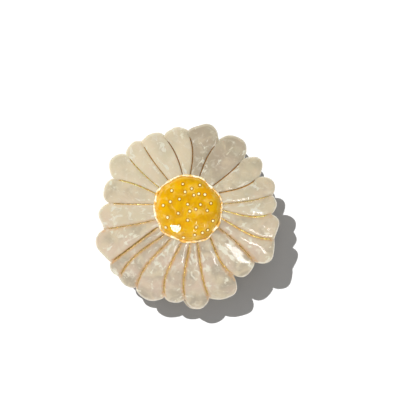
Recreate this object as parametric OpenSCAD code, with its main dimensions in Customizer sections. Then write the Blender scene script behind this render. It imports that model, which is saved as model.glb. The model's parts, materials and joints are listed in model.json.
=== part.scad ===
// Daisy hair claw: two heat-bent acetate flowers on a sprung hinge.
// The back flower lies face down on a table, and the front flower looks up.

/* [Flower] */
// Thickness of the acetate at the crown of a petal
sheet_t = 3.2; // [2.6:0.1:3.6]
// Depth of the carved groove between two petals
groove_d = 1.3; // [0.6:0.1:1.5]
// How far the lower petals, which are the teeth, bend inwards at their tips
tooth_drop = 9; // [7:0.5:10]
// How far the upper petals, which the fingers press, bend inwards at their tips
finger_drop = 3; // [1:0.5:4]
// How far every petal droops at its tip
rim_drop = 1.5; // [1:0.1:2]
// Turn of the back flower's petals, which otherwise lie right behind the front's
back_turn = -2; // [-6:0.5:6]

/* [Centre piece] */
// Radius of the yellow centre piece
centre_r = 14.8; // [14.4:0.1:15.2]
// Height of the centre piece over the petals
centre_h = 4.5; // [3.5:0.1:5]
// Radius of its flat top
centre_flat_r = 9.2; // [8:0.1:10]
// Radius of a gilt dot
dot_r = 0.65; // [0.55:0.05:0.7]
// Radius of the gilt wire round the centre piece
ring_r = 0.4; // [0.3:0.05:0.5]

/* [Gilt lines] */
// Width of the gilt line in a groove
line_w = 0.7; // [0.5:0.1:0.9]
// Height of the gilt line
line_h = 0.45; // [0.3:0.05:0.6]

/* [Hinge] */
// Angle between each flower and the plane where the two meet
half_angle = 5; // [4.5:0.25:5.5]
// Gap between the closed teeth
tooth_gap = 0.6; // [0.5:0.1:1]
// Height of the hinge axis over the centre of the flower, towards the finger side
pivot_y = 7; // [6:0.5:8]
// Thickness of the steel leaves
leaf_t = 0.8; // [0.6:0.1:1]
// Radius of the hinge pin
pin_r = 1; // [0.9:0.05:1.1]
// Diameter of the spring wire
wire_d = 1.2; // [1:0.05:1.25]
// Opening of the front flower, for a look at the clip open
open_angle = 0; // [0:1:42]

/* [Hidden] */

// The hand-carved petals, anticlockwise as seen from outside, from just over the right-hand one.
// Each row is a groove and the petal after it: [angle of the groove at the rim, its bow at
// mid-length, its bow at the centre piece, reach of the notch, reach of the petal's tip].
PETALS = [
    [9, -2, -1, 38.5, 40], [24, -2, 5, 34.5, 39], [42, -1, 1, 33, 39], [66, 4, 4, 33, 38.5],
    [90, -5, -3, 34.5, 36.5], [108, -6, -9, 34, 37], [125, 1, -1, 36.5, 38.5],
    [139, 3, 5, 36.5, 40.5], [158, -3, -3, 35.5, 38.5], [176, -1, -4, 35, 40],
    [194, 2, 5, 38.5, 44.5], [215, -1, -4, 42.5, 45], [225, -3, 3, 44.5, 45.5],
    [237, -3, 4, 43.5, 46.5], [255, -3, 5, 42.5, 44.5], [268, -1, 6, 42, 47.5],
    [283, -1, 3, 43, 45.5], [304, -2, 6, 36, 40.5], [321, 4, 7, 38.5, 44],
    [340, -2, 6, 41, 41.5], [356, -3, 3, 37.5, 39.5]];
petal_count = len(PETALS);

// The raised dots on a centre piece, set by hand: [angle, distance from the middle]
DOTS = [[326, 1], [92, 2.5], [269, 4.5], [199, 4.5], [23, 6], [128, 6], [68, 7], [99, 8], [155, 8.5],
    [358, 8.5], [295, 8.5], [56, 8.5], [80, 9.5], [200, 9.5], [42, 10], [16, 10.5], [130, 11],
    [170, 11], [101, 11.5], [285, 11.5], [64, 12], [302, 12], [336, 12], [314, 12.5], [219, 12.5],
    [261, 12.5], [240, 8], [5, 3.5]];
tooth = 15;                 // the longest petal, whose tip comes closest to the other jaw
reach = PETALS[tooth][4];   // radius at which the bends reach their full drop
seat_r = 14;                // flat seat for the centre piece, on the outer face
pad_r = 21;                 // flat pad for the hinge leaf, on the inner face
edge_r = 1.4;               // how far the rounded edge reaches in from the rim
relief_f = 0.25;            // share of a petal's length over which its roundness grows in
steps = 8;                  // mesh steps across a petal
top_rings = [0, 0.12, 0.28, 0.45, 0.62, 0.78, 0.9, 1];
edge_rings = [30, 60, 90, 120, 150];
low_rings = [1, 0.75, 0.45, 0.2, 0];

tip_y = -(reach - edge_r);                  // where the closed teeth come closest
tip_z = -(sheet_t + bend(0, tip_y, pad_r));
pivot_z = tip_z - tooth_gap / 2 / cos(half_angle) - (pivot_y - tip_y) * tan(half_angle);
dot_proud = 0.35;                           // how far a dot stands over the centre piece
rest_z = centre_h + dot_proud;              // seat of the back flower over the table
rest = [0.448, 4.943, rest_z];              // brings the middle of the clip over the origin
leaf_y = [1, 18];                           // a leaf's base plate, along the flower
leaf_x = 9.6;                               // half width of the front leaf
ear_gap = 0.2;                              // side clearance between the two leaves' ears
bore_r = pin_r + 0.05;
boss_r = 3.2;                               // round end of an ear
rivet_spots = [[-5.5, 4], [5.5, 4], [0, 15.5]];
rivet_r = 0.9;
rivet_depth = 1.8;                          // how far a rivet goes into the acetate
rivet_gap = 0.05;                           // play round a rivet in its leaf
ear_foot = [6, 2];                          // half width and height of an ear's foot
pin_head = [1.7, 0.7];                      // radius and height of a head of the pin
skirt_h = 0.6;                              // height of the centre piece's upright edge
ring_z = 0.25;                              // height of the ring's middle over the seat
ring_gap = 0.02;                            // play round the ring
line_side = 0.25;                           // height of a gilt line's sides over its groove
coil_r = 2.3;                               // mean radius of the spring's coil
coil_turns = 8;
coil_w = 11;                                // length of the coil between its ends
wire_sides = 8;
turn_steps = 14;

ACETATE = [0.9, 0.87, 0.8];
YELLOW = [0.93, 0.68, 0.05];
GILT = [0.8, 0.62, 0.25];
STEEL = [0.75, 0.75, 0.77];

// Drop of the bent sheet at a point, for a flat middle of the given radius
function bend(x, y, flat) =
    let(r = norm([x, y]), out = max(0, r - flat), full = reach - flat,
        along = r > 0 ? y * out / r : 0)
    (y < 0 ? tooth_drop : finger_drop) * pow(along / full, 2) + rim_drop * pow(out / full, 2);

function petal(k) = PETALS[(k + petal_count) % petal_count];
function rim_angle(k) = petal(k)[0] + (k >= petal_count ? 360 : 0);

// Angle of groove k at f, which is 0 at the seat and 1 at the rim: a curve through three angles
function groove_angle(k, f) =
    rim_angle(k) + petal(k)[1] * 4 * f * (1 - f) + petal(k)[2] * (1 - f) * (1 - 2 * f);

// Reach of the rim of petal k, where u runs from 0 at its first groove to 1 at its next
function rim(k, u) =
    let(base = petal(k)[3] * (1 - u) + petal(k + 1)[3] * u, t = abs(2 * u - 1))
    base + (petal(k)[4] - base) * pow(1 - t * t, 0.85);

// Height lost across a petal, which is round between its grooves, and none at the seat
function relief(u, f) = groove_d * pow(abs(2 * u - 1), 3) * min(1, f / relief_f);

function spot(k, u, f, r, turn) =
    let(a = groove_angle(k, f) * (1 - u) + groove_angle(k + 1, f) * u + turn) [r * cos(a), r * sin(a)];

// A point of the shell's outer face, at f of the way from the seat to the rounded edge
function outer_point(k, u, f, turn) =
    let(p = spot(k, u, f, seat_r + (rim(k, u) - edge_r - seat_r) * f, turn))
    [p.x, p.y, -bend(p.x, p.y, seat_r) - relief(u, f)];

function inner_point(k, u, f, turn) =
    let(p = spot(k, u, 1, pad_r + (rim(k, u) - edge_r - pad_r) * f, turn))
    [p.x, p.y, -sheet_t - bend(p.x, p.y, pad_r)];

// A point of the half-round edge, a from 0 at the outer face to 180 at the inner one
function edge_point(k, u, a, turn) =
    let(top = outer_point(k, u, 1, turn), low = inner_point(k, u, 1, turn),
        p = spot(k, u, 1, rim(k, u) - edge_r + edge_r * sin(a), turn),
        sag = bend(p.x, p.y, seat_r) - bend(top.x, top.y, seat_r))
    [p.x, p.y, (top.z + low.z) / 2 + (top.z - low.z) / 2 * cos(a) - sag];

function ring_of(kind, f, turn) = [for (k = [0:petal_count - 1], j = [0:steps - 1])
    kind == 0 ? outer_point(k, j / steps, f, turn)
    : kind == 1 ? edge_point(k, j / steps, f, turn) : inner_point(k, j / steps, f, turn)];

// Faces of a tube made of rings of n points each, with flat ends
function tube_faces(rings, n) = concat(
    [[for (i = [0:n - 1]) n - 1 - i]],
    [for (r = [0:rings - 2], i = [0:n - 1]) let(a = r * n + i, b = r * n + (i + 1) % n)
        each [[a, b, b + n], [a, b + n, a + n]]],
    [[for (i = [0:n - 1]) (rings - 1) * n + i]]);

module flower(turn) {
    n = petal_count * steps;
    rows = concat([for (f = top_rings) ring_of(0, f, turn)], [for (a = edge_rings) ring_of(1, a, turn)],
        [for (f = low_rings) ring_of(2, f, turn)]);
    color(ACETATE)
        polyhedron([for (row = rows, p = row) p], tube_faces(len(rows), n));
}

// Height of the centre piece at radius r: a flat top and a shoulder that is a quarter ellipse
function centre_top(r) =
    r < centre_flat_r ? centre_h
    : let(part = (r - centre_flat_r) / (centre_r - centre_flat_r))
        skirt_h + (centre_h - skirt_h) * sqrt(max(0, 1 - part * part));

module centre() {
    shoulder = [for (a = [0:10:90])
        [centre_flat_r + (centre_r - centre_flat_r) * cos(a), skirt_h + (centre_h - skirt_h) * sin(a)]];
    color(YELLOW)
        rotate_extrude($fn = 96)
            polygon(concat([[0, 0], [centre_r, 0]], shoulder, [[0, centre_h]]));
}

module gilt_ring() {
    color(GILT)
        rotate_extrude($fn = 96)
            translate([centre_r + ring_r, ring_z]) circle(r = ring_r - ring_gap, $fn = 24);
}

// Cast dots, each sunk so that only its cap is proud
module gilt_dots() {
    color(GILT)
        for (dot = DOTS)
            translate([dot[1] * cos(dot[0]), dot[1] * sin(dot[0]), centre_top(dot[1]) + dot_proud - dot_r])
                sphere(r = dot_r, $fn = 24);
}

module gilt_lines(turn) {
    stations = [0.1, 0.22, 0.36, 0.52, 0.68, 0.84, 0.97];
    color(GILT)
        for (k = [0:petal_count - 1]) {
            line = [for (f = stations) outer_point(k, 0, f, turn)];
            rows = [for (i = [0:len(line) - 1])
                let(way = line[min(i + 1, len(line) - 1)] - line[max(i - 1, 0)],
                    side = [-way.y, way.x, 0] / norm([way.x, way.y]) * line_w / 2)
                each [line[i] + side + [0, 0, line_side], line[i] + [0, 0, -line_h / 2],
                    line[i] - side + [0, 0, line_side], line[i] + [0, 0, line_h]]];
            polyhedron(rows, tube_faces(len(line), 4));
        }
}

// An ear of a leaf, drawn flat: x along the flower from the pivot, y from the pivot to the base plate
module ear_shape() {
    height = -pivot_z - sheet_t;
    difference() {
        union() {
            circle(r = boss_r, $fn = 48);
            polygon([[-boss_r, 0], [boss_r, 0], [ear_foot.x, height - ear_foot.y], [ear_foot.x, height],
                [-ear_foot.x, height], [-ear_foot.x, height - ear_foot.y]]);
        }
        circle(r = bore_r, $fn = 48);
    }
}

// A stamped steel leaf: a base plate on the inner pad and two ears that carry the pin
module hinge_leaf(half_w) {
    color(STEEL)
        difference() {
            union() {
                translate([-half_w, leaf_y[0], -sheet_t - leaf_t])
                    cube([2 * half_w, leaf_y[1] - leaf_y[0], leaf_t]);
                for (x = [-half_w, half_w - leaf_t])
                    translate([x, pivot_y, pivot_z])
                        rotate([90, 0, 90]) linear_extrude(leaf_t) ear_shape();
            }
            for (p = rivet_spots)
                translate([p.x, p.y, -sheet_t - leaf_t - 1])
                    cylinder(r = rivet_r + rivet_gap, h = leaf_t + 2, $fn = 32);
        }
}

// Pins with round heads, pressed warm into the acetate through the leaf
module rivets() {
    color(STEEL)
        for (p = rivet_spots)
            translate([p.x, p.y, -sheet_t - leaf_t]) {
                cylinder(r = rivet_r, h = leaf_t + rivet_depth, $fn = 32);
                rotate_extrude($fn = 32)
                    polygon([[0, 0], [1.8, 0], [1.6, -0.4], [1, -0.7], [0, -0.8]]);
            }
}

module hinge_pin() {
    half = leaf_x + ear_gap + leaf_t + 0.1 + pin_head.y / 2;
    color(STEEL)
        rotate([0, 90, 0]) {
            cylinder(r = pin_r, h = 2 * half, center = true, $fn = 48);
            for (s = [-1, 1])
                translate([0, 0, s * half])
                    cylinder(r = pin_head.x, h = pin_head.y, center = true, $fn = 48);
        }
}

// The spring's centreline, about the pivot with y towards the finger side and z to the front:
// a coil on the pin, and at each end a leg that leaves it straight and lies on a leaf
leg_reach = 9;                                      // where a leg meets its leaf, above the pivot
leaf_face = -pivot_z - sheet_t - leaf_t - wire_d / 2 - 0.03;
leg_far = norm([leg_reach, leaf_face]);
leg_turn = atan2(leaf_face, leg_reach) + half_angle;   // direction of the front leg's foot
leave = leg_turn - acos(coil_r / leg_far);              // where the front leg leaves the coil
foot = 2.5;

function on_coil(a, x) = [x, coil_r * cos(a), coil_r * sin(a)];
function at(dist, a, x) = [x, dist * cos(a), dist * sin(a)];
function foot_end(s) =
    at(leg_far, s * leg_turn, s * coil_w / 2) + foot * [0, cos(half_angle), s * sin(half_angle)];

spring_path = let(sweep = 360 * coil_turns + 2 * leave, count = round(sweep / 360 * turn_steps))
    concat([foot_end(-1), at(leg_far, -leg_turn, -coil_w / 2)],
        [for (i = [0:count]) on_coil(-leave + sweep * i / count, coil_w * (i / count - 0.5))],
        [at(leg_far, leg_turn, coil_w / 2), foot_end(1)]);

module torsion_spring() {
    last = len(spring_path) - 1;
    rows = [for (i = [0:last])
        let(way = spring_path[min(i + 1, last)] - spring_path[max(i - 1, 0)], t = way / norm(way),
            s = cross(t, [1, 0, 0]), side = s / norm(s), up = cross(side, t))
        for (j = [0:wire_sides - 1])
            let(b = 360 * j / wire_sides)
            spring_path[i] + wire_d / 2 * (side * cos(b) + up * sin(b))];
    color(STEEL)
        rotate([half_angle, 0, 0])
            polyhedron(rows, tube_faces(last + 1, wire_sides));
}

// Places: the back jaw is cut as a mirror image and lies with its outside down, and the front one
// turns about the pin
pivot = rest + [0, pivot_y, -pivot_z];

module on_back() { translate(rest) mirror([0, 0, 1]) children(); }
module on_front() {
    translate(pivot) rotate([2 * half_angle - open_angle, 0, 0])
        translate([0, -pivot_y, -pivot_z]) children();
}
module on_pivot() { translate(pivot) children(); }

on_back() flower(back_turn);  // back_flower
on_back() centre();  // back_centre
on_back() gilt_ring();  // back_gilt_ring
on_back() gilt_dots();  // back_gilt_dots
on_back() gilt_lines(back_turn);  // back_gilt_lines
on_back() hinge_leaf(leaf_x + ear_gap + leaf_t);  // back_hinge_leaf
on_back() rivets();  // back_rivets
on_front() flower(0);  // front_flower
on_front() centre();  // front_centre
on_front() gilt_ring();  // front_gilt_ring
on_front() gilt_dots();  // front_gilt_dots
on_front() gilt_lines(0);  // front_gilt_lines
on_front() hinge_leaf(leaf_x);  // front_hinge_leaf
on_front() rivets();  // front_rivets
on_pivot() hinge_pin();
on_pivot() torsion_spring();
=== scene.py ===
import json
import math

import bmesh
import bpy
import numpy as np
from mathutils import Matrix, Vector


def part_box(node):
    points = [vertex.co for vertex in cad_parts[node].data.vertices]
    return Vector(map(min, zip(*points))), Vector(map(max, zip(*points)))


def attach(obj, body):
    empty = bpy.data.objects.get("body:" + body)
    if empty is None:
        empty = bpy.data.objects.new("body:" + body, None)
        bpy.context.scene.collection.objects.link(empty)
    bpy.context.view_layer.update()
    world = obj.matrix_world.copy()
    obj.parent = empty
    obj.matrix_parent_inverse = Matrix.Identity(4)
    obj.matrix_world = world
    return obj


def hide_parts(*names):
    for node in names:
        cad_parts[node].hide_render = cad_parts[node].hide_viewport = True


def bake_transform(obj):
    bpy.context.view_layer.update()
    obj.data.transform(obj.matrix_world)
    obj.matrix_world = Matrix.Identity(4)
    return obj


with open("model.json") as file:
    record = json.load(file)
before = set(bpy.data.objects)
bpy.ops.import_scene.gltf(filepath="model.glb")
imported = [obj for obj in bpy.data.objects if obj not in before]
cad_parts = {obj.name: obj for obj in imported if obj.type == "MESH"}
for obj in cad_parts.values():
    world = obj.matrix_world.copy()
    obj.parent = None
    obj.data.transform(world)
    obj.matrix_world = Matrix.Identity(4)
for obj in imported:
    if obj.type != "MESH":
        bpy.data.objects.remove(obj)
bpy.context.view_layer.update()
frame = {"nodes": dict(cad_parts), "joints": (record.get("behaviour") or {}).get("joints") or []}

mm = 0.001
scene = bpy.context.scene

# Where the two jaws are. A jaw's own frame has its outside up and its middle at the origin.
backLow, backHigh = (np.array(corner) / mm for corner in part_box("back_centre"))
seat = np.array([(backLow[0] + backHigh[0]) / 2, (backLow[1] + backHigh[1]) / 2, backHigh[2]])
pivot = np.array(frame["joints"][0]["pos_m"]) / mm
jaws = {
    "angle": 10,  # between the two flowers, in degrees
    "pivotY": pivot[1] - seat[1],
    "pivotZ": seat[2] - pivot[2],
}


def turned(points, degrees):
    # about X: y and z turn by the usual cosine and sine
    c, s = math.cos(math.radians(degrees)), math.sin(math.radians(degrees))
    return points @ np.array([[1, 0, 0], [0, c, s], [0, -s, c]])


def placed(points, jaw):
    # the back jaw is the front one's mirror image, and the front one turns by the jaw angle about the pin
    if jaw == "back":
        return points * np.array([1, 1, -1]) + seat
    return turned(points - np.array([0, jaws["pivotY"], jaws["pivotZ"]]), jaws["angle"]) + pivot


def meshPiece(name, points, faces, material, attributes=None, smooth=True):
    mesh = bpy.data.meshes.new(name)
    mesh.from_pydata((points * mm).tolist(), [], faces)
    mesh.materials.append(material)
    mesh.polygons.foreach_set("use_smooth", [smooth] * len(mesh.polygons))
    for key, values in (attributes or {}).items():
        kind, field = ("FLOAT", "value") if values.ndim == 1 else ("FLOAT_VECTOR", "vector")
        mesh.attributes.new(key, kind, "POINT").data.foreach_set(field, values.astype(np.float32).ravel())
    piece = bpy.data.objects.new(name, mesh)
    scene.collection.objects.link(piece)
    return piece


def jawPiece(jaw, part, points, faces, material, attributes=None):
    # a piece of one jaw, made in the jaw's own frame: a mirror image has its faces turned round again
    if jaw == "back":
        faces = [face[::-1] for face in faces]
    name = jaw + "".join(word.capitalize() for word in part.split("_"))
    piece = meshPiece(name, placed(points, jaw), faces, material, attributes)
    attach(piece, jaw + "_jaw")
    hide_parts(jaw + "_" + part)
    return piece


def gridFaces(rows, columns, first=0):
    # quads of a grid whose columns close into a ring, and a fan at the point before and after it
    i, j = np.meshgrid(np.arange(rows - 1), np.arange(columns), indexing="ij")
    k = (j + 1) % columns
    quads = np.stack([i * columns + j, (i + 1) * columns + j, (i + 1) * columns + k, i * columns + k], -1)
    quads = quads.reshape(-1, 4) + first + 1
    ring = np.arange(columns)
    nextOne = (ring + 1) % columns
    start = np.stack([np.full(columns, first), ring + first + 1, nextOne + first + 1], -1)
    last = first + 1 + (rows - 1) * columns
    end = np.stack([np.full(columns, last + columns), nextOne + last, ring + last], -1)
    return start.tolist() + quads.tolist() + end.tolist()


def closedGrid(grid):
    # a grid (rows, columns, 3) with a point at the middle of its first row and of its last
    flat = grid.reshape(-1, 3)
    return np.concatenate([grid[:1].mean(1), flat, grid[-1:].mean(1)])


def padded(values):
    # the same for a value held at each point of the grid
    return np.concatenate([[values[0].mean()], values.ravel(), [values[-1].mean()]])


def joinGrids(grids):
    points, faces, count = [], [], 0
    for grid in grids:
        points.append(closedGrid(grid))
        faces += gridFaces(grid.shape[0], grid.shape[1], count)
        count += len(points[-1])
    return np.concatenate(points), faces


def ripple(x, y, size, seed, waves=7):
    # a sum of plane waves of about the same length, in seeded directions: a soft unevenness from -1 to 1
    chance = np.random.default_rng(seed)
    total = 0
    for heading, phase, stretch in chance.uniform(0, 1, (waves, 3)):
        a = heading * 2 * math.pi
        length = size * (0.7 + 0.8 * stretch)
        total = total + np.sin((x * math.cos(a) + y * math.sin(a)) * 2 * math.pi / length + phase * 2 * math.pi)
    return total / math.sqrt(waves) / 1.4


def addNode(tree, kind, inputs=None, **settings):
    made = tree.nodes.new(kind)
    for key, value in settings.items():
        setattr(made, key, value)
    for key, value in (inputs or {}).items():
        if isinstance(value, bpy.types.NodeSocket):
            tree.links.new(value, made.inputs[key])
        else:
            made.inputs[key].default_value = value
    return made


def mixColour(tree, factor, first, second, blend="MIX"):
    made = tree.nodes.new("ShaderNodeMix")
    made.data_type = "RGBA"
    made.blend_type = blend
    for index, value in ((0, factor), (6, first), (7, second)):
        if isinstance(value, bpy.types.NodeSocket):
            tree.links.new(value, made.inputs[index])
        else:
            made.inputs[index].default_value = value if index == 0 else (*value, 1)
    return made.outputs[2]


def doMath(tree, operation, first, second=0.0, clamp=False):
    return addNode(tree, "ShaderNodeMath", {0: first, 1: second}, operation=operation, use_clamp=clamp).outputs[0]


def remap(tree, value, low, high, toLow=0.0, toHigh=1.0, smooth=True):
    inputs = {"Value": value, "From Min": low, "From Max": high, "To Min": toLow, "To Max": toHigh}
    kind = "SMOOTHSTEP" if smooth else "LINEAR"
    return addNode(tree, "ShaderNodeMapRange", inputs, interpolation_type=kind).outputs["Result"]


def noise(tree, vector, scale, detail=3.0, rough=0.5, distortion=0.0):
    inputs = {"Vector": vector, "Scale": scale, "Detail": detail, "Roughness": rough, "Distortion": distortion}
    return addNode(tree, "ShaderNodeTexNoise", inputs)


def attribute(tree, name):
    return addNode(tree, "ShaderNodeAttribute", attribute_name=name).outputs["Fac"]


def objectPlace(tree):
    return addNode(tree, "ShaderNodeTexCoord").outputs["Object"]


def bump(tree, height, distance, strength=1.0, normal=None):
    inputs = {"Height": height, "Distance": distance, "Strength": strength}
    if normal is not None:
        inputs["Normal"] = normal
    return addNode(tree, "ShaderNodeBump", inputs).outputs["Normal"]


def newMaterial(name, shader):
    material = bpy.data.materials.new(name)
    material.use_nodes = True
    tree = material.node_tree
    principled = tree.nodes["Principled BSDF"]
    for key, value in shader.items():
        principled.inputs[key].default_value = value
    return material, tree, principled


def newGroup(name, inputs, outputs):
    group = bpy.data.node_groups.new(name, "ShaderNodeTree")
    for key, value in inputs.items():
        kind = "NodeSocketVector" if value is None else "NodeSocketFloat"
        socket = group.interface.new_socket(name=key, in_out="INPUT", socket_type=kind)
        if value is not None:
            socket.default_value = value
    for key, kind in outputs.items():
        group.interface.new_socket(name=key, in_out="OUTPUT", socket_type=kind)
    return group, group.nodes.new("NodeGroupInput"), group.nodes.new("NodeGroupOutput")


def useGroup(tree, group, inputs):
    made = tree.nodes.new("ShaderNodeGroup")
    made.node_tree = group
    for key, value in inputs.items():
        if isinstance(value, bpy.types.NodeSocket):
            tree.links.new(value, made.inputs[key])
        else:
            made.inputs[key].default_value = value
    return made.outputs


def pearlGroup():
    # silky folds, patches where the flakes stand up, and the single flakes
    group, given, out = newGroup(
        "pearlFlakes",
        {"Vector": None, "Fold Size": 7.0, "Patch Size": 2.4, "Flake Size": 0.35},
        {key: "NodeSocketFloat" for key in ("Folds", "Hue", "Tint", "Patches", "Flakes", "Height")},
    )
    vector = given.outputs["Vector"]
    scales = [doMath(group, "DIVIDE", 1000.0, given.outputs[key]) for key in ("Fold Size", "Patch Size", "Flake Size")]
    hueScale = doMath(group, "MULTIPLY", scales[0], 0.8)
    folds = noise(group, vector, scales[0], 3.0, 0.5, 0.8)
    patches = noise(group, vector, scales[1], 3.0, 0.5, 0.7)
    flakes = addNode(group, "ShaderNodeTexVoronoi", {"Vector": vector, "Scale": scales[2], "Randomness": 1.0})
    single = addNode(group, "ShaderNodeSeparateColor", {"Color": flakes.outputs["Color"]}).outputs[0]
    hues = addNode(group, "ShaderNodeSeparateColor", {"Color": noise(group, vector, hueScale, 1.0).outputs["Color"]})
    height = doMath(group, "MULTIPLY_ADD", patches.outputs["Fac"], 0.7)
    group.links.new(folds.outputs["Fac"], height.node.inputs[2])
    group.links.new(folds.outputs["Fac"], out.inputs["Folds"])
    group.links.new(hues.outputs[0], out.inputs["Hue"])
    group.links.new(hues.outputs[1], out.inputs["Tint"])
    group.links.new(remap(group, patches.outputs["Fac"], 0.48, 0.76), out.inputs["Patches"])
    group.links.new(single, out.inputs["Flakes"])
    group.links.new(height, out.inputs["Height"])
    return group


def wearGroup():
    # dull clouds, and a fine grain that shows as scratches where its place is drawn out along one way
    group, given, out = newGroup(
        "metalWear",
        {"Vector": None, "Cloud Size": 3.0, "Grain Size": 0.3},
        {"Clouds": "NodeSocketFloat", "Grain": "NodeSocketFloat"},
    )
    vector = given.outputs["Vector"]
    cloudScale = doMath(group, "DIVIDE", 1000.0, given.outputs["Cloud Size"])
    grainScale = doMath(group, "DIVIDE", 1000.0, given.outputs["Grain Size"])
    clouds = noise(group, vector, cloudScale, 4.0, 0.6, 0.4)
    grain = noise(group, vector, grainScale, 3.0, 0.6)
    group.links.new(clouds.outputs["Fac"], out.inputs["Clouds"])
    group.links.new(grain.outputs["Fac"], out.inputs["Grain"])
    return group


pearlFlakes = pearlGroup()
metalWear = wearGroup()

pearlLook = {
    "shade": (0.52, 0.43, 0.30),
    "light": (0.80, 0.68, 0.47),
    "pale": (0.90, 0.79, 0.57),
    "rose": (0.80, 0.62, 0.47),
    "moss": (0.59, 0.55, 0.38),
    "patch": (0.96, 0.90, 0.74),
    "shred": (1.0, 0.95, 0.78),
    "paint": (0.78, 0.42, 0.14),
    "edge": (0.88, 0.82, 0.62),
    "shader": {"Metallic": 0.0, "IOR": 1.5, "Coat Weight": 1.0, "Coat Roughness": 0.07, "Coat IOR": 1.5,
               "Subsurface Weight": 0.25, "Subsurface Radius": (1.0, 0.85, 0.6), "Subsurface Scale": 0.002},
}


def pearlMaterial():
    look = pearlLook
    material, tree, principled = newMaterial("pearlAcetate", look["shader"])
    place = objectPlace(tree)
    pearl = useGroup(tree, pearlFlakes, {"Vector": place, "Fold Size": 7.0, "Patch Size": 2.6, "Flake Size": 0.4})
    tone, groove, rim = (attribute(tree, name) for name in ("tone", "groove", "rim"))
    low = remap(tree, attribute(tree, "height"), 0.35, -0.5)  # 0 by the finger side, 1 at the teeth
    # each petal's tone is partly its own, at random, and partly painted light and shade; it moves the petal towards the
    # light colour and, where light is painted, towards the pale one
    folds = doMath(tree, "ADD", pearl["Folds"], doMath(tree, "MULTIPLY", tone, 0.08))
    colour = mixColour(tree, remap(tree, folds, 0.3, 0.7), look["shade"], look["light"])
    colour = mixColour(tree, remap(tree, tone, 0.5, 4.5, 0.0, 0.5), colour, look["pale"])
    # the tint's noise is the sheet's own, but its weight by height is painted light and shade: towards the finger side
    # darker and greener, as shade, towards the teeth pinker, as light
    rosy = doMath(tree, "MULTIPLY", remap(tree, pearl["Hue"], 0.35, 0.75), remap(tree, low, 0, 1, 0.25, 0.75))
    colour = mixColour(tree, rosy, colour, look["rose"])
    mossy = doMath(tree, "MULTIPLY", remap(tree, pearl["Tint"], 0.35, 0.75), remap(tree, low, 0, 1, 0.45, 0.04))
    colour = mixColour(tree, mossy, colour, look["moss"])
    patchy = doMath(tree, "MULTIPLY", pearl["Patches"], remap(tree, pearl["Flakes"], 0.2, 0.9, 0.6, 1.0))
    colour = mixColour(tree, doMath(tree, "MULTIPLY", patchy, 0.55), colour, look["patch"])
    # shreds of flake drawn out from the centre, thickest beside it, painted near-white: painted glints where the flakes
    # catch the light
    rays = addNode(tree, "ShaderNodeAttribute", attribute_name="rays").outputs["Vector"]
    shreds = noise(tree, rays, 0.6, 4.0, 0.6, 0.6).outputs["Fac"]
    nearCentre = remap(tree, attribute(tree, "reach"), 0.8, 0.05, 0.045, 0.07)
    glints = remap(tree, doMath(tree, "ADD", shreds, nearCentre), 0.62, 0.7)
    colour = mixColour(tree, doMath(tree, "MULTIPLY", glints, 0.85), colour, look["shred"])
    smear = remap(tree, noise(tree, place, 900.0, 3.0).outputs["Fac"], 0.35, 0.65, 0.4, 1.0)
    paint = doMath(tree, "MULTIPLY", remap(tree, groove, 1.5, 0.4, 0.0, 0.8), smear)
    colour = mixColour(tree, doMath(tree, "MULTIPLY", paint, low), colour, look["paint"])
    # the petals' rim is painted lighter: a painted highlight along the edge
    colour = mixColour(tree, remap(tree, rim, 0.8, 0.1, 0.0, 0.3), colour, look["edge"])
    tree.links.new(colour, principled.inputs["Base Color"])
    sheen = doMath(tree, "MULTIPLY_ADD", doMath(tree, "MAXIMUM", patchy, glints), 0.15)
    sheen.node.inputs[2].default_value = 0.05
    tree.links.new(sheen, principled.inputs["Metallic"])
    tree.links.new(remap(tree, pearl["Flakes"], 0.0, 1.0, 0.55, 0.35), principled.inputs["Roughness"])
    tilt = bump(tree, pearl["Height"], 0.0008, 0.2)
    tree.links.new(bump(tree, pearl["Flakes"], 0.00003, 0.3, tilt), principled.inputs["Normal"])
    return material


resinLook = {
    "deep": (0.74, 0.37, 0.0),
    "body": (0.88, 0.49, 0.0),
    "orange": (0.93, 0.42, 0.0),
    "streak": (1.0, 0.67, 0.16),
    "rim": (1.0, 0.60, 0.08),
    # the socket colour is painted shade round the foot of each dot
    "socket": (0.42, 0.15, 0.0),
    "shader": {"IOR": 1.5, "Specular IOR Level": 0.05, "Coat Weight": 1.0, "Coat Roughness": 0.02,
               "Coat IOR": 1.4, "Subsurface Weight": 0.3, "Subsurface Radius": (1.0, 0.6, 0.1),
               "Subsurface Scale": 0.002},
}


def resinMaterial():
    look = resinLook
    material, tree, principled = newMaterial("yellowResin", look["shader"])
    place = objectPlace(tree)
    pearl = useGroup(tree, pearlFlakes, {"Vector": place, "Fold Size": 5.0, "Patch Size": 3.4, "Flake Size": 0.5})
    colour = mixColour(tree, remap(tree, pearl["Folds"], 0.35, 0.62), look["deep"], look["body"])
    colour = mixColour(tree, remap(tree, pearl["Hue"], 0.58, 0.7, 0.0, 0.7), colour, look["orange"])
    colour = mixColour(tree, doMath(tree, "MULTIPLY", pearl["Patches"], 0.75), colour, look["streak"])
    edge = remap(tree, attribute(tree, "rim"), 1.1, 0.0, 0.0, 0.85)
    colour = mixColour(tree, doMath(tree, "MULTIPLY", edge, remap(tree, pearl["Folds"], 0.4, 0.55, 0.5, 1.0)), colour, look["rim"])
    # a dark brown ring round the foot of each dot: painted shade where the bead meets the resin
    socket = remap(tree, attribute(tree, "dot"), 1.05, 0.7, 0.0, 0.8)
    colour = mixColour(tree, socket, colour, look["socket"])
    tree.links.new(colour, principled.inputs["Base Color"])
    tree.links.new(remap(tree, pearl["Flakes"], 0.0, 1.0, 0.5, 0.3), principled.inputs["Roughness"])
    tree.links.new(bump(tree, pearl["Height"], 0.0006, 0.4), principled.inputs["Normal"])
    return material


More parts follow.
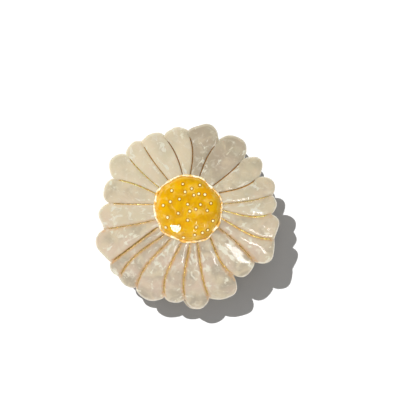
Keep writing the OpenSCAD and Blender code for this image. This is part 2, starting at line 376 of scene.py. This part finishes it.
giltLooks = {
    "line": {"bright": (1.0, 0.71, 0.25), "dull": (0.68, 0.38, 0.08), "cloud": 1.0, "grain": 0.22, "lift": 0.00008},
    "bead": {"bright": (1.0, 0.92, 0.52), "dull": (1.0, 0.82, 0.36), "cloud": 0.9, "grain": 0.3, "lift": 0.00002},
    "ring": {"bright": (1.0, 0.95, 0.72), "dull": (0.78, 0.44, 0.07), "cloud": 1.9, "grain": 0.3, "lift": 0.00005},
}
giltMetal = {"line": 0.8, "bead": 0.3, "ring": 0.15}  # thin gilding over pale metal shows less of the gold
shadedGilt = (0.42, 0.17, 0.03)  # painted shade: the lines towards the finger side are painted dark brown


def giltMaterial(name):
    look = giltLooks[name]
    material, tree, principled = newMaterial("gilt_" + name, {"Metallic": giltMetal[name]})
    place = objectPlace(tree)
    wear = useGroup(tree, metalWear, {"Vector": place, "Cloud Size": look["cloud"], "Grain Size": look["grain"]})
    worn = remap(tree, wear["Clouds"], 0.38, 0.62)
    colour = mixColour(tree, worn, look["dull"], look["bright"])
    if name == "line":
        age = attribute(tree, "age")
        # painted light and shade: lines towards the teeth are painted up to half again brighter, and those towards the
        # finger side darker and then dark brown
        colour = mixColour(tree, 1.0, colour, remap(tree, age, -0.9, 0.3, 0.66, 1.45), "MULTIPLY")
        colour = mixColour(tree, remap(tree, age, 0.35, 0.85, 0.0, 0.9), colour, shadedGilt)
    tree.links.new(colour, principled.inputs["Base Color"])
    tree.links.new(remap(tree, wear["Grain"], 0.3, 0.7, 0.18, 0.42), principled.inputs["Roughness"])
    tree.links.new(bump(tree, wear["Grain"], look["lift"], 1.0), principled.inputs["Normal"])
    return material


steelLooks = {
    "leaf": {"bright": (0.74, 0.73, 0.71), "dull": (0.62, 0.61, 0.60), "stretch": (1.0, 9.0, 1.0), "rough": (0.25, 0.42)},
    "pin": {"bright": (0.78, 0.77, 0.75), "dull": (0.55, 0.54, 0.52), "stretch": (1.0, 1.0, 1.0), "rough": (0.12, 0.3)},
    "spring": {"bright": (0.74, 0.74, 0.75), "dull": (0.52, 0.52, 0.54), "stretch": (1.0, 1.0, 1.0), "rough": (0.2, 0.4)},
}


def steelMaterial(name):
    look = steelLooks[name]
    material, tree, principled = newMaterial("steel_" + name, {"Metallic": 1.0})
    place = addNode(tree, "ShaderNodeMapping", {"Vector": objectPlace(tree), "Scale": look["stretch"]}).outputs[0]
    wear = useGroup(tree, metalWear, {"Vector": place, "Cloud Size": 4.0, "Grain Size": 0.4})
    colour = mixColour(tree, remap(tree, wear["Clouds"], 0.35, 0.6), look["dull"], look["bright"])
    tree.links.new(colour, principled.inputs["Base Color"])
    tree.links.new(remap(tree, wear["Grain"], 0.3, 0.7, *look["rough"]), principled.inputs["Roughness"])
    tree.links.new(bump(tree, wear["Grain"], 0.00003, 1.0), principled.inputs["Normal"])
    return material


pearl = pearlMaterial()
resin = resinMaterial()
gilt = {name: giltMaterial(name) for name in giltLooks}
steel = {name: steelMaterial(name) for name in steelLooks}
print("materials made")

# Each row is a groove and the petal after it, anticlockwise as seen from outside: the groove's angle at
# the rim, its bow at mid-length, its bow at the centre, the reach of the notch and that of the petal's tip
petalRows = np.array([
    [9, -2, -1, 38.5, 40], [24, -2, 5, 34.5, 39], [42, -1, 1, 33, 39], [66, 4, 4, 33, 38.5],
    [90, -5, -3, 34.5, 36.5], [108, -6, -9, 34, 37], [125, 1, -1, 36.5, 38.5],
    [139, 3, 5, 36.5, 40.5], [158, -3, -3, 35.5, 38.5], [176, -1, -4, 35, 40],
    [194, 2, 5, 38.5, 44.5], [215, -1, -4, 42.5, 45], [225, -3, 3, 44.5, 45.5],
    [237, -3, 4, 43.5, 46.5], [255, -3, 5, 42.5, 44.5], [268, -1, 6, 42, 47.5],
    [283, -1, 3, 43, 45.5], [304, -2, 6, 36, 40.5], [321, 4, 7, 38.5, 44],
    [340, -2, 6, 41, 41.5], [356, -3, 3, 37.5, 39.5],
])
sheet = {
    "thickness": 3.2, "reach": 47.5, "seat": 14, "pad": 21, "edge": 1.4,
    "toothDrop": 9, "fingerDrop": 3, "rimDrop": 1.5,
    "crown": 0.42, "crownPower": 2.4, "valley": 0.3, "valleyWidth": 0.45, "filing": 0.25,
    "crease": 0.07, "creaseAt": 0.57,
    "unevenness": 0.06, "fineUnevenness": 0.009,
    "acrossPetal": 24, "outerRows": 70, "edgeRows": 14, "innerRows": 34,
    "turn": {"front": 0, "back": -2},
}
petalCount = len(petalRows)
petalSkew = np.random.default_rng(11).uniform(-0.25, 0.25, petalCount)
petalToneAndShade = np.random.default_rng(5).uniform(-1, 1, petalCount)
# painted light and shade: on one side of the finger petals the sheet is painted paler, and some petals elsewhere
# darker, for how the light falls on them
petalToneAndShade += [1, 0.5, -1.5, -1.5, 3, 4, 4, 4, 2.5, 2, 1, -0.5, -1, -1, -1, -0.5, 0, 0, 0.5, 1.5, 1.5]
petalRound = np.random.default_rng(8).uniform(0.6, 0.95, petalCount)
petalCrown = np.random.default_rng(9).uniform(0.8, 1.2, petalCount)
petalCrown[[10, 17, 18, 19, 20]] = 1.5, 0.3, 1.4, 0.6, 0.7  # one is nearly flat, and the others differ
petalUneven = np.ones(petalCount)
petalUneven[17] = 0.15
petalLean = np.random.default_rng(14).uniform(-0.45, 0.45, petalCount)


def bend(x, y, flat):
    # the drop grows with the square of the way past the flat middle, most of it towards the teeth (-y);
    # a soft crease near the middle of each tooth splits it into two flatter stretches
    r = np.maximum(np.hypot(x, y), 1e-6)
    out = np.maximum(0, r - flat)
    full = sheet["reach"] - flat
    along = y * out / r / full
    part = np.abs(along)
    soft = 0.03
    rise = part / sheet["creaseAt"]
    fall = (1 - part) / (1 - sheet["creaseAt"])
    tent = -soft * np.log(np.exp(-rise / soft) + np.exp(-fall / soft))
    tooth = part**2 - sheet["crease"] * np.maximum(tent, 0)
    drop = np.where(along < 0, sheet["toothDrop"] * tooth, sheet["fingerDrop"] * part**2)
    return drop + sheet["rimDrop"] * (out / full) ** 2


def grooveAngle(row, f):
    return row[..., 0] + row[..., 1] * 4 * f * (1 - f) + row[..., 2] * (1 - f) * (1 - 2 * f)


def rimReach(index, u):
    # the notches joined by a straight line, and over it the tip's bulge, which leans to one side; the file
    # has left the rim a little uneven
    row, after = petalRows[index], petalRows[(index + 1) % petalCount]
    base = row[..., 3] * (1 - u) + after[..., 3] * u
    leaning = u + petalLean[index] * u * (1 - u)
    bulge = np.maximum(0, 1 - (2 * leaning - 1) ** 2) ** petalRound[index]
    angle = np.radians(row[..., 0] * (1 - u) + (after[..., 0] + 360 * (index + 1 >= petalCount)) * u)
    uneven = sheet["filing"] * ripple(40 * np.cos(angle), 40 * np.sin(angle), 7, 51)
    return base + (row[..., 4] - base) * bulge + uneven


def spreadAngle(index, u, f):
    # the angle between two grooves, and the angle between them that a petal takes up there
    row, after = petalRows[index], petalRows[(index + 1) % petalCount]
    first = grooveAngle(row, f)
    second = grooveAngle(after, f) + 360 * (index + 1 >= petalCount)
    return first * (1 - u) + second * u, second - first


def outerSurface(index, u, f, turn):
    # the carved face: the bend, less a crown across each petal and a valley in which the gilt lies
    angle, width = spreadAngle(index, u, f)
    reach = rimReach(index, u)
    r = sheet["seat"] + (reach - sheet["edge"] - sheet["seat"]) * f
    a = np.radians(angle + turn)
    x, y = r * np.cos(a), r * np.sin(a)
    groove = np.minimum(u, 1 - u) * np.radians(width) * r
    across = 2 * u - 1
    across = across - petalSkew[index] * (1 - across**2)
    carve = sheet["crown"] * petalCrown[index] * np.abs(across) ** sheet["crownPower"]
    carve = carve + sheet["valley"] * np.exp(-((groove / sheet["valleyWidth"]) ** 2))
    fade = np.clip(f / 0.12, 0, 1)
    fade = fade * fade * (3 - 2 * fade)
    uneven = sheet["unevenness"] * ripple(x, y, 7, 3) + sheet["fineUnevenness"] * ripple(x, y, 2.6, 8)
    uneven = uneven * (1 - (1 - petalUneven[index]) * (1 - across**2))
    z = -bend(x, y, sheet["seat"]) - (carve - uneven) * fade
    return np.stack([x, y, z], -1), groove, reach - r


def innerSurface(index, u, f, turn):
    angle, width = spreadAngle(index, u, 1.0)
    reach = rimReach(index, u)
    r = sheet["pad"] + (reach - sheet["edge"] - sheet["pad"]) * f
    a = np.radians(angle + turn)
    x, y = r * np.cos(a), r * np.sin(a)
    z = -sheet["thickness"] - bend(x, y, sheet["pad"])
    return np.stack([x, y, z], -1), reach - r


def makeFlower(jaw):
    turn = sheet["turn"][jaw]
    steps = sheet["acrossPetal"]
    t = np.tile(np.arange(steps) / steps, petalCount)[None, :]
    u = t - 0.6 * np.sin(2 * math.pi * t) / (2 * math.pi)  # closer together beside the grooves
    index = np.repeat(np.arange(petalCount), steps)[None, :]
    f = (1 - (1 - np.linspace(0, 1, sheet["outerRows"])) ** 1.15)[:, None]
    outer, groove, outerRim = outerSurface(index, u, f, turn)
    g = np.linspace(1, 0.02, sheet["innerRows"])[:, None]
    inner, innerRim = innerSurface(index, u, g, turn)
    # the edge is half an oval from the outer face to the inner one, leaning with the bend
    a = np.radians(np.linspace(0, 180, sheet["edgeRows"] + 2)[1:-1])[:, None]
    top, low = outer[-1], inner[0]
    reach = rimReach(index, u)
    r = reach - sheet["edge"] + sheet["edge"] * np.sin(a)
    angle = np.radians(spreadAngle(index, u, 1.0)[0] + turn)
    x, y = r * np.cos(angle), r * np.sin(angle)
    sag = bend(x, y, sheet["seat"]) - bend(top[:, 0], top[:, 1], sheet["seat"])[None, :]
    z = (top[:, 2] + low[:, 2]) / 2 + (top[:, 2] - low[:, 2]) / 2 * np.cos(a) - sag
    edge = np.stack([x, y, z], -1)
    grid = np.concatenate([outer, edge, inner])
    far = np.full(inner.shape[:2], 9.0)
    grooveAll = np.concatenate([groove, np.repeat(groove[-1:], len(a), 0) + 0.4, far])
    rimAll = np.concatenate([outerRim, np.zeros(edge.shape[:2]), innerRim])
    tone = np.broadcast_to(petalToneAndShade[index], grid.shape[:2])
    share = (np.hypot(grid[..., 0], grid[..., 1]) - sheet["seat"]) / (sheet["reach"] - sheet["seat"])
    out = np.hypot(grid[..., 0], grid[..., 1])
    rays = np.stack([16 * grid[..., 0] / out, 16 * grid[..., 1] / out, 0.3 * out - 0.3 * grid[..., 2]], -1)
    attributes = {"groove": padded(grooveAll), "rim": padded(rimAll), "tone": padded(tone),
                  "reach": padded(share), "height": padded(grid[..., 1] / sheet["reach"]), "rays": closedGrid(rays)}
    jawPiece(jaw, "flower", closedGrid(grid), gridFaces(*grid.shape[:2]), pearl, attributes)


giltLine = {"thin": 0.27, "wide": 0.48, "height": 0.18, "start": 0.05, "endUp": 0.93, "endDown": 0.985,
            "rings": 46, "sides": 10}


def makeLines(jaw):
    # along each groove, an oval whose half width swells and thins a little and comes to nothing at its ends
    grids, paintedShades = [], []
    turn = sheet["turn"][jaw]
    for k in range(petalCount):
        way = math.radians(petalRows[k, 0])
        lowness = 0.5 - 0.5 * math.sin(way)
        age = math.sin(way) + 0.35 * math.cos(way)  # highest towards the finger side, leaning to one side: there the lines are painted darkest, as shade
        end = giltLine["endUp"] + (giltLine["endDown"] - giltLine["endUp"]) * min(1, 2 * lowness)
        t = np.linspace(0, 1, giltLine["rings"])
        f = giltLine["start"] + (end - giltLine["start"]) * t
        path = outerSurface(np.array(k), 0.0, f, turn)[0]
        way = np.gradient(path, axis=0)
        way /= np.linalg.norm(way, axis=1, keepdims=True)
        side = np.cross(way, [0, 0, 1.0])
        side /= np.linalg.norm(side, axis=1, keepdims=True)
        up = np.cross(side, way)
        taper = np.sqrt(np.clip(np.minimum(t, 1 - t) * 14, 0.02, 1))
        half = giltLine["thin"] + (giltLine["wide"] - giltLine["thin"]) * lowness
        half = half * taper * (1 + 0.1 * ripple(t * 30, t * 0 + k, 5, 21) + 0.05 * ripple(t * 30, t * 0 + k, 1.6, 22))
        tall = giltLine["height"] * taper * (1 + 0.25 * ripple(t * 30, t * 0 + k, 3, 23))
        a = np.linspace(0, 2 * math.pi, giltLine["sides"], endpoint=False)
        grid = (path + up * 0.06)[:, None] + side[:, None] * (half[:, None] * np.cos(a))[..., None]
        grid = grid + up[:, None] * (tall[:, None] * np.sin(a))[..., None]
        grids.append(grid)
        paintedShades.append(np.full(grid.shape[0] * grid.shape[1] + 2, age))
    points, faces = joinGrids(grids)
    attributes = {"age": np.concatenate(paintedShades)}
    jawPiece(jaw, "gilt_lines", points, faces, gilt["line"], attributes)


centre = {"radius": 14.8, "height": 4.5, "shoulder": 8.6, "skirt": 0.5, "dish": 0.25, "outline": 1.0,
          "hammer": 0.14, "flare": 0.7, "rings": 110, "sides": 360,
          "flatAt": (-5.5, -8.2), "flatSlope": (0.07, 0.242), "flatRadius": (3.2, 2.5), "flatCurve": 60, "flatHeight": 3.75}
ring = {"radius": 0.48, "wander": 0.3, "swell": 0.6, "sides": 14}
dotSpots = np.array([
    [326, 1], [92, 2.5], [269, 4.5], [199, 4.5], [23, 6], [128, 6], [68, 7], [99, 8], [155, 8.5],
    [358, 8.5], [295, 8.5], [56, 8.5], [80, 9.5], [200, 9.5], [42, 10], [16, 10.5], [130, 11],
    [170, 11], [101, 11.5], [285, 11.5], [64, 12], [302, 12], [336, 12], [314, 12.5], [219, 12.5],
    [261, 12.5], [240, 8], [5, 3.5],
])
dotPlaces = dotSpots[:, 1:] * np.stack([np.cos(np.radians(dotSpots[:, 0])), np.sin(np.radians(dotSpots[:, 0]))], 1)
dot = {"radius": 0.65, "proud": 0.35, "rings": 9, "sides": 20}


def centreRadius(a):
    # the outline wanders in and out a few times round
    wander = 0.5 * np.cos(2 * a - 5.0) + 0.3 * np.sin(5 * a + 0.6) + 0.25 * np.sin(9 * a + 4.0)
    return centre["radius"] - centre["outline"] * (0.6 - wander * 0.6)


def centreHeight(x, y):
    # a nearly flat top and a shoulder that falls ever faster, with hammered dimples, and one small flat
    # where the polishing wheel has leaned on it
    r, a = np.hypot(x, y), np.arctan2(y, x)
    reach = centreRadius(a)
    part = np.clip((r - centre["shoulder"]) / (reach - centre["shoulder"]), 0, 1)
    top = centre["skirt"] + (centre["height"] - centre["skirt"]) * (1 - part**2.2) ** 0.7
    dish = centre["dish"] * np.minimum(1, r / centre["shoulder"]) ** 2
    height = top - dish - centre["hammer"] * (1 + ripple(x, y, 5.5, 31)) * np.minimum(1, 1.2 - part)
    east, north = x - centre["flatAt"][0], y - centre["flatAt"][1]
    away = np.hypot(east, north)
    plane = centre["flatHeight"] + centre["flatSlope"][0] * east + centre["flatSlope"][1] * north - away**2 / 2 / centre["flatCurve"]
    share = np.exp(-(np.hypot(east / centre["flatRadius"][0], north / centre["flatRadius"][1]) ** 8))
    return height * (1 - share) + plane * share


def makeCentre(jaw):
    a = np.linspace(0, 2 * math.pi, centre["sides"], endpoint=False)[None, :]
    s = np.sin(np.linspace(0, math.pi / 2, centre["rings"]))[1:, None]
    reach = centreRadius(a)
    x, y = s * reach * np.cos(a), s * reach * np.sin(a)
    z = centreHeight(x, y)
    # below the shoulder the resin runs out over the petals in a curve
    q = np.linspace(0, 1, 8)[1:, None]
    flared = reach + centre["flare"] * q
    foot = z[-1:] * (1 - q) ** 2
    flareGrid = np.stack([flared * np.cos(a), flared * np.sin(a), foot - 0.15 * q], -1)
    under = flareGrid[-1:] * np.array([0.5, 0.5, 1])
    grid = np.concatenate([np.stack([x, y, z], -1), flareGrid, under])
    rim = np.concatenate([reach * (1 - s), np.zeros((len(q), centre["sides"])), np.full((1, centre["sides"]), 5.0)])
    flat = closedGrid(grid)
    fromDot = np.sqrt(((flat[:, None, :2] - dotPlaces[None]) ** 2).sum(-1)).min(1)
    attributes = {"rim": padded(rim), "dot": fromDot}
    jawPiece(jaw, "centre", flat, gridFaces(*grid.shape[:2]), resin, attributes)


def makeRing(jaw):
    # a bead laid round the foot of the centre by hand: its radius and its way round it wander
    a = np.linspace(0, 2 * math.pi, centre["sides"], endpoint=False)
    x, y = 20 * np.cos(a), 20 * np.sin(a)
    thick = ring["radius"] * (1 + ring["swell"] * (0.6 * ripple(x, y, 7, 41) + 0.4 * ripple(x, y, 2.5, 43)))
    r = centreRadius(a) + centre["flare"] + ring["wander"] * ripple(x, y, 9, 42)
    b = np.linspace(0, 2 * math.pi, ring["sides"], endpoint=False)[:, None]
    reach = r + thick * np.cos(b)
    grid = np.stack([reach * np.cos(a), reach * np.sin(a), 0.1 + thick * np.sin(b)], -1)
    rows, columns = grid.shape[:2]
    i, j = np.meshgrid(np.arange(rows), np.arange(columns), indexing="ij")
    k, m = (i + 1) % rows, (j + 1) % columns
    faces = np.stack([i * columns + j, i * columns + m, k * columns + m, k * columns + j], -1).reshape(-1, 4)
    jawPiece(jaw, "gilt_ring", grid.reshape(-1, 3), faces.tolist(), gilt["ring"])


def makeDots(jaw):
    # balls sunk in the centre, each a stack of rings from its top to its foot
    a = np.linspace(0, 2 * math.pi, dot["sides"], endpoint=False)[None, :]
    b = np.linspace(0, math.pi, dot["rings"] + 2)[1:-1, None]
    ball = np.stack([np.sin(b) * np.cos(a), np.sin(b) * np.sin(a), np.cos(b) + 0 * a], -1) * dot["radius"]
    grids = []
    heights = centreHeight(dotPlaces[:, 0], dotPlaces[:, 1])
    sizes = np.random.default_rng(17).uniform(0.8, 1.1, len(dotPlaces))
    for (x, y), z, size in zip(dotPlaces, heights, sizes):
        grids.append(ball * size + np.array([x, y, z + dot["proud"] - dot["radius"] * size]))
    points, faces = joinGrids(grids)
    jawPiece(jaw, "gilt_dots", points, faces, gilt["bead"])


for jaw in ("back", "front"):
    makeFlower(jaw)
    makeLines(jaw)
    makeCentre(jaw)
    makeRing(jaw)
    makeDots(jaw)
    print(jaw, "flower made")

leaf = {"bevel": 0.14, "bevelSteps": 3, "flatWithin": 1, "sharpOver": 35, "thickness": 0.8}
rivet = {"spots": [(-5.5, 4), (5.5, 4), (0, 15.5)], "shank": 0.9, "depth": 1.8, "head": 1.8, "dome": 0.8,
         "sides": 40}
pin = {"radius": 1.0, "half": 11.05, "head": 1.7, "headHeight": 0.7, "chamfer": 0.15, "sides": 56}
spring = {"wire": 1.2, "coil": 2.3, "turns": 8, "width": 11, "legReach": 9, "foot": 2.5, "rest": 5,
          "clear": 0.03, "fillet": 1.4, "step": 0.2, "sides": 18}


def revolved(profile, sides):
    # a profile of [radius, height] from the top down, carried round the height axis
    profile = np.array(profile)
    a = np.linspace(0, 2 * math.pi, sides, endpoint=False)[None, :]
    r, z = profile[:, :1], profile[:, 1:]
    return np.stack([r * np.cos(a), r * np.sin(a), z + 0 * a], -1)


def makeLeaf(jaw):
    # the stamping itself, its triangles merged into flat faces, with every edge rounded over
    node = jaw + "_hinge_leaf"
    mesh = frame["nodes"][node].data.copy()
    work = bmesh.new()
    work.from_mesh(mesh)
    bmesh.ops.remove_doubles(work, verts=work.verts, dist=0.001 * mm)
    bmesh.ops.dissolve_limit(work, angle_limit=math.radians(leaf["flatWithin"]), verts=work.verts, edges=work.edges)
    work.to_mesh(mesh)
    work.free()
    mesh.materials.clear()
    mesh.materials.append(steel["leaf"])
    mesh.polygons.foreach_set("use_smooth", [True] * len(mesh.polygons))
    mesh.set_sharp_from_angle(angle=math.radians(leaf["sharpOver"]))
    piece = bpy.data.objects.new(jaw + "HingeLeaf", mesh)
    scene.collection.objects.link(piece)
    rounding = piece.modifiers.new("rounding", "BEVEL")
    rounding.width = leaf["bevel"] * mm
    rounding.segments = leaf["bevelSteps"]
    rounding.limit_method = "ANGLE"
    rounding.angle_limit = math.radians(leaf["sharpOver"])
    rounding.harden_normals = True
    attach(piece, jaw + "_jaw")
    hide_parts(node)


def makeRivets(jaw):
    # a shank through the leaf and a head whose dome is a quarter of an ellipse
    top = rivet["depth"] + leaf["thickness"]
    a = np.linspace(90, 6, 12)
    dome = np.stack([rivet["head"] * np.sin(np.radians(a)), -rivet["dome"] * np.cos(np.radians(a))], 1)
    profile = np.concatenate([[[rivet["shank"] * 0.9, top], [rivet["shank"], top - 0.1], [rivet["shank"], 0]], dome])
    ball = revolved(profile, rivet["sides"])
    foot = -sheet["thickness"] - leaf["thickness"]
    points, faces = joinGrids([ball + np.array([x, y, foot]) for x, y in rivet["spots"]])
    jawPiece(jaw, "rivets", points, faces, steel["pin"])


def makePin():
    # a shaft with a low domed head at each end, turned about X
    a = np.radians(np.linspace(8, 90, 10))
    inside, chamfer = pin["half"] - pin["headHeight"] / 2, pin["chamfer"]
    dome = np.stack([pin["head"] * np.sin(a), inside + chamfer + (pin["headHeight"] - chamfer) * np.cos(a)], 1)
    end = np.concatenate([dome, [[pin["head"] - chamfer, inside], [pin["radius"], inside]]])
    profile = np.concatenate([end, end[::-1] * np.array([1, -1])])
    grid = revolved(profile, pin["sides"])[..., [2, 0, 1]]
    piece = meshPiece("hingePin", closedGrid(grid) + pivot, gridFaces(*grid.shape[:2]), steel["pin"])
    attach(piece, "back_jaw")
    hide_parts("hinge_pin")


def springPath():
    # foot, leg, coil, leg and foot, walked in even steps, and each bend eased by a running mean
    leafFace = -jaws["pivotZ"] - sheet["thickness"] - leaf["thickness"] - spring["wire"] / 2 - spring["clear"]
    legFar = math.hypot(spring["legReach"], leafFace)
    rest = math.radians(spring["rest"])
    legTurn = math.atan2(leafFace, spring["legReach"]) + rest
    leave = legTurn - math.acos(spring["coil"] / legFar)
    knees = [np.array([s * spring["width"] / 2, legFar * math.cos(legTurn), s * legFar * math.sin(legTurn)])
             for s in (-1, 1)]
    toes = [knee + spring["foot"] * np.array([0, math.cos(rest), s * math.sin(rest)]) for knee, s in zip(knees, (-1, 1))]
    t = np.linspace(0, 1, 1200)
    a = -leave + (spring["turns"] * 2 * math.pi + 2 * leave) * t
    coil = np.stack([spring["width"] * (t - 0.5), spring["coil"] * np.cos(a), spring["coil"] * np.sin(a)], 1)
    rough = np.concatenate([[toes[0], knees[0]], coil, [knees[1], toes[1]]])
    walked = np.concatenate([[0], np.cumsum(np.linalg.norm(np.diff(rough, axis=0), axis=1))])
    even = np.linspace(0, walked[-1], round(walked[-1] / spring["step"]))
    path = np.stack([np.interp(even, walked, rough[:, k]) for k in range(3)], 1)
    span = round(spring["fillet"] / spring["step"] / 2)
    window = np.ones(2 * span + 1) / (2 * span + 1)
    eased = np.stack([np.convolve(path[:, k], window, "same") for k in range(3)], 1)
    path[span:-span] = eased[span:-span]
    return path


def makeSpring():
    # round wire along that path; the coil winds up from one leg's end to the other as the clip opens
    path = springPath()
    way = np.gradient(path, axis=0)
    way /= np.linalg.norm(way, axis=1, keepdims=True)
    side = np.cross(way, [1.0, 0, 0])
    side /= np.linalg.norm(side, axis=1, keepdims=True)
    up = np.cross(side, way)
    b = np.linspace(0, 2 * math.pi, spring["sides"], endpoint=False)[None, :, None]
    grid = path[:, None] + spring["wire"] / 2 * (side[:, None] * np.cos(b) + up[:, None] * np.sin(b))
    points = turned(closedGrid(grid), spring["rest"]) + pivot
    piece = meshPiece("torsionSpring", points, gridFaces(*grid.shape[:2]), steel["spring"])
    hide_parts("torsion_spring")
    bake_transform(piece)


for jaw in ("back", "front"):
    makeLeaf(jaw)
    makeRivets(jaw)
makePin()
makeSpring()
print("hinge made")

floorMaterial, floorTree, floorShader = newMaterial("floorPaper", {"Roughness": 0.9, "Specular IOR Level": 0.0})
floorGrain = noise(floorTree, objectPlace(floorTree), 300.0, 4.0).outputs["Fac"]
floorColour = mixColour(floorTree, floorGrain, (0.49, 0.49, 0.49), (0.51, 0.51, 0.51))
floorTree.links.new(floorColour, floorShader.inputs["Base Color"])
bpy.ops.mesh.primitive_plane_add(size=8)
floor = bpy.context.object
floor.name = "floor"
floor.data.materials.append(floorMaterial)

lights = {
    "domeLamp": {"around": 254, "tilt": 36, "far": 380, "size": (54, 42), "radiance": 30, "shape": "ELLIPSE"},
    "rightBox": {"around": 299, "tilt": 28, "far": 380, "size": (21, 125), "radiance": 14, "shape": "RECTANGLE"},
    "beadLamp": {"around": 60, "tilt": 15, "far": 380, "size": (160, 160), "radiance": 8.0, "shape": "RECTANGLE"},
    "softBox": {"around": 135, "tilt": 45, "far": 360, "size": (200, 180), "radiance": 5.6, "shape": "RECTANGLE"},
}
sun = {"slope": (0.34, -0.38), "strength": 6.5, "angle": 0.6}
world = {"fill": 0.52, "backdrop": 1.0, "glossLow": 0.8, "glossHigh": 0.12}


def pointedAt(obj, direction):
    # a light or a camera looks along its own -Z
    obj.rotation_euler = direction.to_track_quat("-Z", "Y").to_euler()


middle = placed(np.array([[0, 0, 0.0]]), "front")[0]


def flowerWay(around, tilt):
    # a direction in the front flower's own frame: around from +X, and tilt from straight out of its face
    a, b = math.radians(around), math.radians(tilt)
    way = np.array([[math.sin(b) * math.cos(a), math.sin(b) * math.sin(a), math.cos(b)]])
    return turned(way, jaws["angle"])[0]


def linked(name, objects, state):
    # the objects a lamp lights, or leaves out
    group = bpy.data.collections.new(name)
    for obj in objects:
        group.objects.link(obj)
    for entry in group.collection_objects:
        entry.light_linking.link_state = state
    return group


flowers = [bpy.data.objects[jaw + "Flower"] for jaw in ("back", "front")]
allButFloor = linked("allButFloor", [floor], "EXCLUDE")
allButPetals = linked("allButPetals", [floor, *flowers], "EXCLUDE")
onlyFloor = linked("onlyFloor", [floor], "INCLUDE")
beads = [bpy.data.objects[jaw + part] for jaw in ("back", "front") for part in ("GiltDots", "GiltRing")]
onlyBeads = linked("onlyBeads", beads, "INCLUDE")
lit = {"domeLamp": allButPetals, "beadLamp": onlyBeads}

for name, box in lights.items():
    data = bpy.data.lights.new(name, "AREA")
    data.shape = box["shape"]
    data.size, data.size_y = box["size"][0] * mm, box["size"][1] * mm
    area = data.size * data.size_y * (math.pi / 4 if box["shape"] == "ELLIPSE" else 1)
    data.energy = box["radiance"] * math.pi * area
    lamp = bpy.data.objects.new(name, data)
    scene.collection.objects.link(lamp)
    way = Vector(flowerWay(box["around"], box["tilt"]))
    lamp.location = Vector(middle * mm) + way * box["far"] * mm
    pointedAt(lamp, -way)
    lamp.light_linking.receiver_collection = lit.get(name, allButFloor)
    lamp.visible_glossy = name != "softBox"  # the soft one only fills

sunData = bpy.data.lights.new("sun", "SUN")
sunData.energy = sun["strength"]
sunData.angle = math.radians(sun["angle"])
sunLamp = bpy.data.objects.new("sun", sunData)
scene.collection.objects.link(sunLamp)
pointedAt(sunLamp, Vector((*sun["slope"], -1)))
sunLamp.light_linking.receiver_collection = onlyFloor

scene.world = bpy.data.worlds.new("studio")
scene.world.use_nodes = True
worldTree = scene.world.node_tree
background = worldTree.nodes["Background"]
# gloss sees a studio that is bright below the teeth and dark over the finger side
way = addNode(worldTree, "ShaderNodeSeparateXYZ", {0: addNode(worldTree, "ShaderNodeTexCoord").outputs["Generated"]})
studio = remap(worldTree, way.outputs["Y"], -0.8, -0.1, world["glossLow"], world["glossHigh"])
path = addNode(worldTree, "ShaderNodeLightPath")
gloss = addNode(worldTree, "ShaderNodeMix", {0: path.outputs["Is Glossy Ray"], 2: world["fill"], 3: studio})
strength = addNode(worldTree, "ShaderNodeMix", {0: path.outputs["Is Camera Ray"], 2: gloss.outputs[0], 3: world["backdrop"]})
worldTree.links.new(strength.outputs[0], background.inputs["Strength"])
background.inputs["Color"].default_value = (1, 1, 1, 1)
scene.view_settings.view_transform = "Standard"

view = {"lens": 85.4, "far": 420, "aim": (5.3, 4.0), "elevation": 85}  # the aim is off the flower's middle
cameraData = bpy.data.cameras.new("camera")
cameraData.lens = view["lens"]
camera = bpy.data.objects.new("camera", cameraData)
scene.collection.objects.link(camera)
slope = math.radians(view["elevation"])
outward = Vector((0, -math.cos(slope), math.sin(slope)))
target = Vector(placed(np.array([[*view["aim"], 0.0]]), "front")[0] * mm)
camera.location = target + outward * view["far"] * mm
pointedAt(camera, -outward)
scene.camera = camera
print("stage, lights and camera set")
